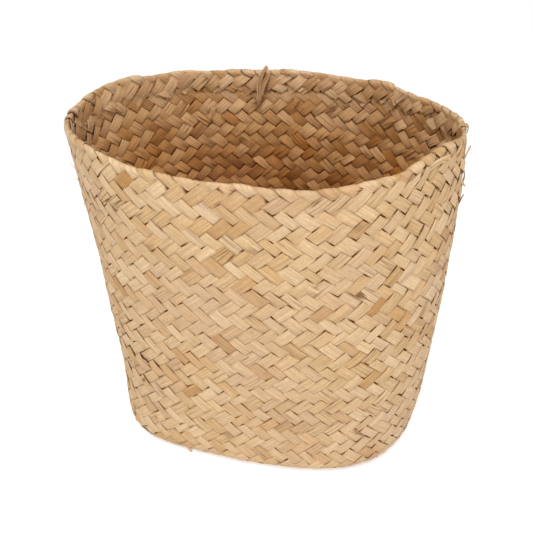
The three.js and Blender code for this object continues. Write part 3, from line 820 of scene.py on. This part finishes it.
def leaf_mesh(name, kind, row, number):
    """A closed strip, and its tones as attributes."""
    source = np.random.default_rng(1000 + number)
    lower, upper, crossings, over, steps = strip_course(kind, row, source)
    first = steps[0]
    last = steps[-1]
    count = len(steps)
    _, _, mid_s, mid_climb = plait_place(kind, row, np.full(count, row), steps)
    loose = looseness(mid_s, mid_climb)
    bend = tightest_bend(mid_s) * (mid_climb > 1)
    past = np.maximum(steps - upper, lower - steps) - FOLD_ROW
    end = (steps > 0).astype(int)
    half_width, rows = strip_edges(row, steps, past, end, loose, bend, mid_s, mid_climb, source)

    # at the fold the corners run level with the rim, so that the leaf bends along one line
    turn_row = HALF_LENGTH_ENDS - HALF_WIDTH_ENDS
    slant = np.where(end == 1, -1 if row > turn_row else 1, -1 if row < -turn_row else 1)
    level_share = np.exp(-(np.maximum(np.abs(past - FOLD_MIDDLE) - 0.3, 0) / 0.9) ** 2) * slant
    places = steps[:, None] + level_share[:, None] * (rows - row)
    past_fold = np.maximum(places - upper, lower - places) - FOLD_ROW
    cell = np.clip(np.floor(places - crossings[0] + 0.501).astype(int), 1, len(crossings) - 2)
    within = places - crossings[cell]
    from_crossing = np.abs(within)
    side = over[cell]
    neighbour = over[np.where(within > 0, cell + 1, cell - 1)]
    height, arched = float_height(side, neighbour, from_crossing, past_fold)

    # the folds at the rim are pressed, uneven and a little askew
    near_fold = np.exp(-((past_fold - 0.3) / FOLD_REACH) ** 2)
    fold_lift = source.normal(FOLD_LIFT, FOLD_LIFT_STRAY, 2)[end][:, None] * near_fold
    height = height * (1 - FOLD_PRESS * near_fold)

    # each float has its own lift and tilt
    run = np.cumsum(np.concatenate([[0], np.diff(over) != 0]))
    runs = run[cell]
    many = run[-1] + 1
    standing = np.minimum(height / OUTER_FLOAT[1], 1.3)
    uneven = 1 + INNER_UNEVENNESS * arched * (side < 0)
    float_lift = source.normal(0, FLOAT_LIFT, many)[runs] * standing * uneven
    float_tilt = source.normal(0, FLOAT_TILT, many)[runs] * standing * uneven
    loose_lift = np.clip(source.normal(0.5, 0.5, many), 0, 1.6)[runs] * loose[:, None] * side * standing

    # each float has its own tone, and some are golden, grey or worn
    tone = source.normal(LEAF_TONE, STRIP_STRAY) + source.normal(0, FLOAT_STRAY, many)[runs]
    tone = tone + LENGTH_STRAY * smooth_noise(count, 24, source)[:, None]
    golden = (source.uniform(0, 1, many) < GOLDEN_SHARE)[runs]
    tone = tone - GOLDEN_DARKER * golden
    warmth = np.clip(source.normal(-0.2, 0.3, many), 0, 0.6)[runs] + GOLDEN_WARMER * golden
    greyness = np.clip(source.normal(-0.3, 0.36, many), 0, 0.5)[runs]
    worn = np.clip(source.exponential(0.2, many), 0.03, 0.8)[runs]
    worn = worn * (1 - 0.85 * np.exp(-((past_fold - 0.3) / 1.2) ** 2))

    points, normals = plait_surface(kind, row, rows, places)
    crown = (LEAF_CROWN * side * standing + FOLD_CROWN * near_fold) * (1 - ACROSS ** 2)
    ends = np.exp(-(np.minimum(places - first, last - places) / 0.6) ** 2)
    lift = height * side + float_lift + loose_lift + fold_lift - END_SINK * ends
    offset = lift + crown + float_tilt * ACROSS
    outer = points + normals * (offset + LEAF_THICKNESS / 2)[..., None]
    inner = points + normals * (offset - LEAF_THICKNESS / 2)[..., None]
    mesh = closed_sheet(name, outer, inner, kind == "q")

    # past the fold the outer face looks into the basket and takes the inside's tones, which are painted
    # shade and light
    turned = past_fold * FOLD_ROW_HEIGHT / (math.pi * FOLD_RADIUS)
    turned_in = np.clip((turned - 0.55) / 0.25, 0, 1)
    near_rim = np.clip(1 + past_fold / 12, 0, 1)
    # the inside's tone: darker and more spread than outside as painted shade, and paler near the rim as
    # painted light
    inside_shade_tone = INSIDE_SHADE_TONE + INSIDE_SHADE_STRAY * np.maximum(tone - LEAF_TONE, -0.18) + RIM_PAINTED_LIGHT * near_rim
    inner_worn = np.clip(1.8 * worn + 0.1, 0, 0.7)

    # painted shade: a strip is drawn darker at one corner of its dive under the next strip, by chance more
    # or less, where the gap there lies in shade
    boundary = cell + (within > 0)
    corner_shade = np.clip(source.exponential(0.9, len(over) + 1) - 0.05, 0, 1.3)[boundary]
    corner_side = source.choice([-1.0, 1.0], len(over) + 1)[boundary]
    diving = np.where(neighbour != side, np.clip((from_crossing - 0.335) / 0.085, 0, 1), 0)
    at_corner = np.clip(0.5 + 0.8 * corner_side * ACROSS, 0, 1)
    dive_shade = diving * corner_shade * (1 + 0.8 * bend[:, None]) * at_corner
    # painted shade in the creases: the strips' edges are drawn darker where they fold over the rim
    fold_edges = near_fold * np.clip(3 * np.abs(ACROSS) - 2, 0, 1)
    fold_crease_shade = source.exponential(0.45, 2)[end][:, None] * fold_edges
    dive_shade = np.maximum(dive_shade, np.minimum(fold_crease_shade, 0.9))
    inner_dive_shade = diving * np.clip(0.7 * corner_shade, 0, 1)

    edge = np.abs(ACROSS) * np.ones((count, 1))
    tones = {
        "tone": (tone + (inside_shade_tone - tone) * turned_in, inside_shade_tone),
        "warmth": (warmth, warmth),
        "greyness": (greyness, greyness),
        # the inside's painted shade: browner the deeper the inner face lies, and a little on the outer face
        # past the fold
        "inside_painted_shade": (0.4 * turned_in, np.clip(0.4 - past_fold / 25, 0.4, 1)),
        "worn": (worn + (inner_worn - worn) * turned_in, inner_worn),
        "dive_shade": (dive_shade, inner_dive_shade),
        "edge": (edge, edge),
    }
    along = places * LEAF_WIDTH_MM + number * STRIP_GRAIN_APART
    across = half_width[:, None] * ACROSS * LEAF_WIDTH_MM
    paint_leaf(mesh, tones, along, across)
    return mesh


def seat_piece(mesh, material, replaced=()):
    """Put a finished piece in the scene, riding on the basket's one body."""
    mesh.materials.append(material)
    piece = bpy.data.objects.new(mesh.name, mesh)
    bpy.context.scene.collection.objects.link(piece)
    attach(piece, "root")
    if replaced:
        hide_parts(*replaced)


STRIPS_EACH_WAY = 32
STRIPS_PER_BAND = 4
for kind_number, kind in enumerate("pq"):
    for i in range(STRIPS_EACH_WAY):
        strip_row = i + 0.5 - STRIPS_EACH_WAY / 2
        strip_name = f"leaf_strip_{kind}_{i + 1:02d}"
        band = f"leaf_band_{kind}_{i // STRIPS_PER_BAND + 1}"
        strip = leaf_mesh(strip_name, kind, strip_row, kind_number * STRIPS_EACH_WAY + i)
        seat_piece(strip, seagrass, [band, "folded_rim"])


# The tie: a hank of untwisted raffia fibres, looped twice over the back rim. Both turns pass through
# one hole of the plait below the rim and come together there on the inside, where they are knotted.
# The fibres are dry and dull, and lie side by side.

# its place round the rim in strip ends, and the drop of its knot and its fibres' radius in mm
TIE_PLACE = 43.0
TIE_KNOT_DROP = 22.5
FIBRE_RADIUS = 0.45
# how much of the wall one strip end takes up round it, in mm
END_PITCH = 10.5
# points along a fibre, and between two points of its route
FIBRE_POINTS = 110
ROUTE_POINTS = 24
# how far a fibre strays from its place in the hank, in mm
FIBRE_STRAY = 0.16
# the route of each turn: distances along the rim, outwards from the wall's middle and down from the
# rim, and the hank's width there, in mm
FIRST_TURN = [
    (1.2, -4.2, 22.5, 1.2), (0.2, -4.6, 19.0, 2.4), (-0.6, -4.8, 14.5, 3.0), (-1.2, -4.8, 9.5, 3.2),
    (-2.6, -4.8, 4.6, 3.2), (-4.6, -4.4, 0.8, 2.6), (-6.2, -3.0, -1.4, 1.8), (-6.6, -0.6, -2.3, 1.6),
    (-6.4, 1.4, -0.9, 1.8), (-5.4, 2.0, 3.0, 2.6), (-4.0, 1.8, 9.0, 3.0), (-2.2, 1.6, 14.0, 2.2),
    (-1.0, 1.2, 17.6, 1.2), (-0.4, -0.6, 19.2, 1.0), (0.2, -2.8, 20.2, 1.0), (1.0, -4.2, 22.2, 1.2),
]
SECOND_TURN = [
    (1.0, -4.6, 22.5, 1.4), (-1.2, -4.9, 17.5, 1.8), (-3.4, -5.0, 12.5, 2.0), (-6.0, -5.0, 7.4, 2.4),
    (-8.2, -4.9, 3.0, 2.6), (-8.4, -4.4, 0.4, 2.4), (-7.4, -2.8, -1.6, 1.8), (-6.8, -0.4, -2.6, 1.4),
    (-6.6, 1.8, -0.8, 1.2), (-5.8, 2.3, 4.0, 1.6), (-4.2, 2.1, 10.0, 1.8), (-2.4, 1.7, 14.6, 1.4),
    (-1.1, 1.2, 18.0, 1.0), (-0.6, -0.6, 19.4, 0.8), (0.0, -2.8, 20.4, 0.8), (1.1, -4.4, 22.2, 1.0),
]


def beside_wall(along, outwards, drop):
    """A point at the tie, in mm."""
    v = (HEIGHT - drop - WALL_HALF) / (FOLD_START - WALL_HALF)
    s = np.array([TIE_PLACE + along / END_PITCH])
    level = np.array([v])
    outward, upward = wall_directions(s, level)
    return (wall_point(s, level) + outward * outwards)[0]


def smooth_route(points, count):
    """A smooth line of count points through the given ones, at even distances."""
    knots = np.array(points, dtype=float)
    padded = np.concatenate([2 * knots[:1] - knots[1:2], knots, 2 * knots[-1:] - knots[-2:-1]])
    fine = []
    for i in range(len(knots) - 1):
        p0, p1, p2, p3 = padded[i:i + 4]
        for t in np.linspace(0, 1, ROUTE_POINTS, endpoint=False):
            straight = 2 * p1 + (p2 - p0) * t
            curved = (2 * p0 - 5 * p1 + 4 * p2 - p3) * t ** 2 + (3 * p1 - p0 - 3 * p2 + p3) * t ** 3
            fine.append(0.5 * (straight + curved))
    fine = np.array(fine + [knots[-1]])
    reach = np.concatenate([[0], np.cumsum(np.linalg.norm(np.diff(fine, axis=0), axis=1))])
    even = np.linspace(0, reach[-1], count)
    return np.stack([np.interp(even, reach, fine[:, k]) for k in range(3)], axis=1)


def frames_along(line):
    """Two directions across a line at each point, which turn as little as they can."""
    tangents = unit(np.gradient(line, axis=0))
    across = np.cross(tangents[0], [0.0, 0.0, 1.0])
    if np.linalg.norm(across) < 0.1:
        across = np.cross(tangents[0], [1.0, 0.0, 0.0])
    sides = []
    for tangent in tangents:
        across = across - tangent * np.dot(across, tangent)
        across = across / np.linalg.norm(across)
        sides.append(across)
    sides = np.array(sides)
    return sides, np.cross(tangents, sides)


def tube_parts(line, radii, sides, first_corner):
    """The corners and faces of a closed tube along a line, radii in mm."""
    one, two = frames_along(line)
    angle = np.arange(sides) * 2 * math.pi / sides
    ring = one[:, None] * np.cos(angle)[:, None] + two[:, None] * np.sin(angle)[:, None]
    corners = (line[:, None] + ring * radii[:, None, None]).reshape(-1, 3) / 1000
    faces = []
    for i in range(len(line) - 1):
        for j in range(sides):
            a = first_corner + i * sides + j
            b = first_corner + i * sides + (j + 1) % sides
            faces.append((a, b, b + sides, a + sides))
    faces.append(tuple(first_corner + j for j in reversed(range(sides))))
    faces.append(tuple(first_corner + (len(line) - 1) * sides + j for j in range(sides)))
    return corners.tolist(), faces


def tubes_mesh(name, tubes, sides):
    """One mesh of several tubes: each is a line, its radii and its tone."""
    corners = []
    faces = []
    tones = []
    for line, radii, tone in tubes:
        more_corners, more_faces = tube_parts(line, radii, sides, len(corners))
        corners.extend(more_corners)
        faces.extend(more_faces)
        tones.extend([tone] * len(more_corners))
    mesh = smooth_mesh(name, corners, faces, 60)
    mesh.attributes.new("tone", "FLOAT", "POINT").data.foreach_set("value", tones)
    return mesh


def hank_of_fibres(turn, fibres, source):
    """Fibres that lie side by side along one turn of the tie."""
    tubes = []
    for i in range(fibres):
        share = i / (fibres - 1) - 0.5
        points = []
        for along, outwards, drop, width in turn:
            stray = source.normal(0, FIBRE_STRAY, 3)
            points.append(
                beside_wall(along + share * width + stray[0], outwards + stray[1], drop + stray[2])
            )
        line = smooth_route(points, FIBRE_POINTS)
        thickness = FIBRE_RADIUS * source.uniform(0.7, 1.15)
        radii = thickness * (1 + 0.15 * smooth_noise(FIBRE_POINTS, 12, source))
        tubes.append((line, radii, source.uniform(0.25, 0.95)))
    return tubes


def raffia_material():
    # raffia, dried and untwisted: it looks dull, and goes from tan to brown between fibres
    material = bpy.data.materials.new("raffia_fibre")
    tree = new_tree(material)
    place = add_node(tree, "TexCoord")
    # flecks about 0.9 mm long, and a tone for each fibre
    grain = add_node(
        tree,
        "TexNoise",
        {"Scale": 1000 / 0.9, "Detail": 3.0, "Roughness": 0.65},
        {"Vector": place.outputs["Object"]},
    )
    tone = add_node(tree, "Attribute", {"attribute_name": "tone"}).outputs["Fac"]
    mixed = add_node(tree, "Mix", {"data_type": "FLOAT", 0: 0.62}, {2: grain.outputs["Fac"], 3: tone})
    fibre = add_node(tree, "ValToRGB", links={"Fac": mixed.outputs[0]})
    fibre.color_ramp.elements[0].color = linear_colour("#6E4A2E")
    fibre.color_ramp.elements[0].position = 0.12
    fibre.color_ramp.elements[1].color = linear_colour("#E4B887")
    fibre.color_ramp.elements[1].position = 0.85
    relief = add_node(tree, "Bump", {"Strength": 0.6, "Distance": 0.0002}, {"Height": grain.outputs["Fac"]})
    dull_fibre = add_node(
        tree,
        "BsdfPrincipled",
        {"Roughness": 0.85, "IOR": 1.45, "Specular IOR Level": 0.2},
        {"Base Color": fibre.outputs["Color"], "Normal": relief.outputs["Normal"]},
    )
    add_node(tree, "OutputMaterial", links={"Surface": dull_fibre.outputs[0]})
    return material


raffia = raffia_material()
tie_tubes = hank_of_fibres(FIRST_TURN, 8, rng) + hank_of_fibres(SECOND_TURN, 6, rng)
seat_piece(tubes_mesh("raffia_hank", tie_tubes, 6), raffia, ["twine_tie"])

# The knot: the hank's two ends in one overhand knot on the inside, pulled tight. The same raffia's ends
# stick out of it as a short frayed tuft. Both are drawn darker than the hank: partly browned fibre, partly
# painted shade.
KNOT_RADIUS = 1.6
KNOT_POINTS = 61
KNOT_FIBRES = 4
TUFT_FIBRES = 12
TUFT_POINTS = 14
knot_turns = np.linspace(0, 2 * math.pi, KNOT_POINTS)
knot_middle = beside_wall(1.2, -4.2, TIE_KNOT_DROP)
knot_out, knot_up = wall_directions(np.array([TIE_PLACE]), np.array([0.85]))
knot_side = np.cross(knot_up[0], knot_out[0])
knot_tubes = []
for i in range(KNOT_FIBRES):
    phase = i * 0.21
    size = KNOT_RADIUS * (0.85 + 0.1 * i)
    # an overhand knot's line, a trefoil, seen from inside the basket
    sideways = np.sin(knot_turns + phase) + 1.7 * np.sin(2 * knot_turns + phase)
    upwards = np.cos(knot_turns + phase) - 1.7 * np.cos(2 * knot_turns + phase)
    outwards = -np.sin(3 * knot_turns)
    knot_line = knot_middle + np.outer(sideways, knot_side) * size * 0.5
    knot_line = knot_line + np.outer(upwards, knot_up[0]) * size * 0.4
    knot_line = knot_line + np.outer(outwards, knot_out[0]) * size * 0.4
    # the knot's fibres are darker than the hank's, partly as painted shade
    knot_tubes.append((knot_line, np.full(KNOT_POINTS, FIBRE_RADIUS), rng.uniform(0.0, 0.45)))
for i in range(TUFT_FIBRES):
    lean = (i - 4) * 0.4 + rng.uniform(-0.3, 0.3)
    fall = rng.uniform(2.0, 5.0)
    end_points = [
        beside_wall(1.2 + lean * 0.2, -4.2, TIE_KNOT_DROP),
        beside_wall(2.0 + lean * 0.7, -4.4 + rng.uniform(-0.6, 0.2), TIE_KNOT_DROP + fall * 0.5),
        beside_wall(3.0 + lean * 1.3 + rng.uniform(-0.6, 0.6), -3.4, TIE_KNOT_DROP + fall),
    ]
    end_line = smooth_route(end_points, TUFT_POINTS)
    knot_tubes.append((end_line, np.linspace(0.32, 0.1, TUFT_POINTS), rng.uniform(0.0, 0.5)))
seat_piece(tubes_mesh("raffia_knot", knot_tubes, 6), raffia, ["twine_knot"])

# Loose ends: short bits of strip that have come out of the plait, most of them along the rim.
# Each is the same dried leaf, held under a neighbouring strip at its root.

# an end's root in strip ends round and rows up, where rows past the fold are on the inside; its
# heading in degrees, with 90 straight up the outside; its length, width and rise in mm; and its tone
LOOSE_ENDS = [
    (18.1, 45.6, 20, 8.0, 5.0, 1.2, 0.8), (19.0, 46.0, 9, 25.0, 3.2, 1.2, 0.62),
    (22.4, 45.6, 60, 7.0, 3.0, 1.4, 0.62), (24.0, 44.0, 75, 9.0, 3.0, 2.4, 0.5),
    (23.5, 42.0, -60, 8.0, 3.0, 2.0, 0.6), (24.3, 37.5, 120, 8.0, 2.8, 1.8, 0.55),
    (25.4, 46.6, 60, 6.0, 3.4, 1.6, 0.4), (30.4, 49.4, 20, 5.0, 2.6, 0.5, 0.45),
    (33.5, 49.0, 120, 8.0, 3.2, 1.0, 0.3), (41.5, 47.6, 170, 8.0, 2.6, 0.9, 0.1),
    (40.3, 52.4, 60, 4.5, 3.0, 1.0, 0.0), (57.3, 49.2, 50, 7.0, 3.0, 1.6, 0.7),
    (58.2, 48.8, 110, 6.0, 2.6, 1.4, 0.3), (56.4, 50.6, 60, 6.0, 2.4, 1.2, 0.8),
    (46.4, 54.0, 60, 9.0, 3.0, 1.2, 0.45), (2.2, 15.0, 110, 8.0, 2.8, 1.8, 0.6),
    (12.5, 33.8, -30, 6.0, 4.2, 1.0, 0.8), (1.2, 11.0, 60, 8.0, 2.6, 1.6, 0.3),
    (0.6, 16.0, -70, 7.0, 2.6, 1.6, 0.4), (2.6, 5.0, 150, 7.0, 2.6, 1.8, 0.5),
    (0.6, 4.0, -120, 6.0, 3.0, 1.6, 0.5), (4.4, 1.5, -60, 6.0, 3.0, 1.4, 0.6),
]
# how much of the wall one row takes up, how far the strips' face stands from the wall's middle, half
# of a loose end's thickness and how far its grain starts on from the last one's, in mm
ROW_PITCH = 4.4
FACE_HEIGHT = 1.15
HALF_THICKNESS = 0.17
END_GRAIN_APART = 300
for i, (s_place, row_place, heading, length, width, rise, tone) in enumerate(LOOSE_ENDS):
    share = np.linspace(0, 1, 9)[:, None]
    turn = math.radians(heading)
    half = width / 2 * (1 - 0.35 * share ** 3) * ACROSS
    bend = 0.12 * length * share ** 2 * (-1) ** i
    forward = length * (share + 0.08 * ACROSS * share)
    sideways = half + bend
    s_here = s_place + (forward * math.cos(turn) - sideways * math.sin(turn)) / END_PITCH
    row_here = row_place + (forward * math.sin(turn) + sideways * math.cos(turn)) / ROW_PITCH
    middle, outward = on_wall(s_here, row_here)
    # the root comes up from under a strip, and the rest curls away from the face
    lift = FACE_HEIGHT * np.minimum(share * 4, 1) + rise * share ** 1.8 + 0.25 * (1 - ACROSS ** 2) - 0.2
    outer = middle + outward * (lift + HALF_THICKNESS)[..., None]
    inner = middle + outward * (lift - HALF_THICKNESS)[..., None]
    end_mesh = closed_sheet(f"loose_end_{i + 1:02d}", outer, inner, False)
    size = lift.shape
    # ends inside the basket get the inside's painted shade
    past_fold = row_place > FOLD_ROW + 0.7
    flat_tones = {
        "tone": tone,
        "warmth": 0.1,
        "greyness": 0.1,
        "inside_painted_shade": 0.5 if past_fold else 0.0,
        "worn": 0.5,
        "dive_shade": 0.0,
        "edge": 0.0,
    }
    tones = {name: (np.full(size, value), np.full(size, value)) for name, value in flat_tones.items()}
    along = np.broadcast_to(length * share + END_GRAIN_APART * i, size)
    paint_leaf(end_mesh, tones, along, half)
    seat_piece(end_mesh, seagrass)

# Loose fibres: a few splinters have split off the strips' edges and stand away from the wall.
# Each is a thin tapering hair of the same dried leaf, held by the plait at its root.

# a fibre's root in strip ends round and rows up, and its reach round, up and outwards in mm
LOOSE_FIBRES = [
    (61.2, 40.5, -5, -3, 3.4), (61.0, 41.4, -4, 4, 2.6), (61.8, 38.2, 4, -5, 2.8),
    (2.9, 4.2, -6, -6, 2.6), (3.3, 3.6, -3, -8, 3.0), (18.6, 26.4, 6, 5, 3.0), (19.4, 23.6, 6, -4, 3.2),
    (9.2, 26.0, 4, 2, 1.6), (14.0, 12.0, -4, 3, 1.8), (36.0, 28.0, 5, 3, 2.6), (47.0, 15.0, -5, 4, 2.6),
    (55.0, 36.0, 4, -4, 2.8), (28.0, 40.0, -4, 4, 2.4), (24.0, 9.0, 4, -5, 2.6), (0.4, 13.4, -4, 5, 2.6),
    (23.2, 33.0, 4, 4, 2.6), (46.2, 54.0, 3, 6, 1.8), (46.8, 54.4, -3, 8, 1.6), (46.5, 54.2, 1, 7, 2.0),
]
HAIR_POINTS = 12
fibre_tubes = []
for s_place, row_place, reach_round, reach_up, reach_out in LOOSE_FIBRES:
    fibre_points = []
    for share in (0.0, 0.35, 0.7, 1.0):
        s_here = np.array([s_place + reach_round * share / END_PITCH])
        row_here = np.array([row_place + reach_up * share / ROW_PITCH])
        middle, outward = on_wall(s_here, row_here)
        away = 0.3 + reach_out * share ** 1.4 + rng.uniform(-0.2, 0.2)
        fibre_points.append((middle + outward * away)[0])
    hair_radii = np.linspace(0.3, 0.1, HAIR_POINTS)
    fibre_tubes.append((smooth_route(fibre_points, HAIR_POINTS), hair_radii, 0.5))
fibre_mesh = tubes_mesh("loose_fibres", fibre_tubes, 5)
fibre_mesh.uv_layers.new(name="leaf")
seat_piece(fibre_mesh, seagrass)
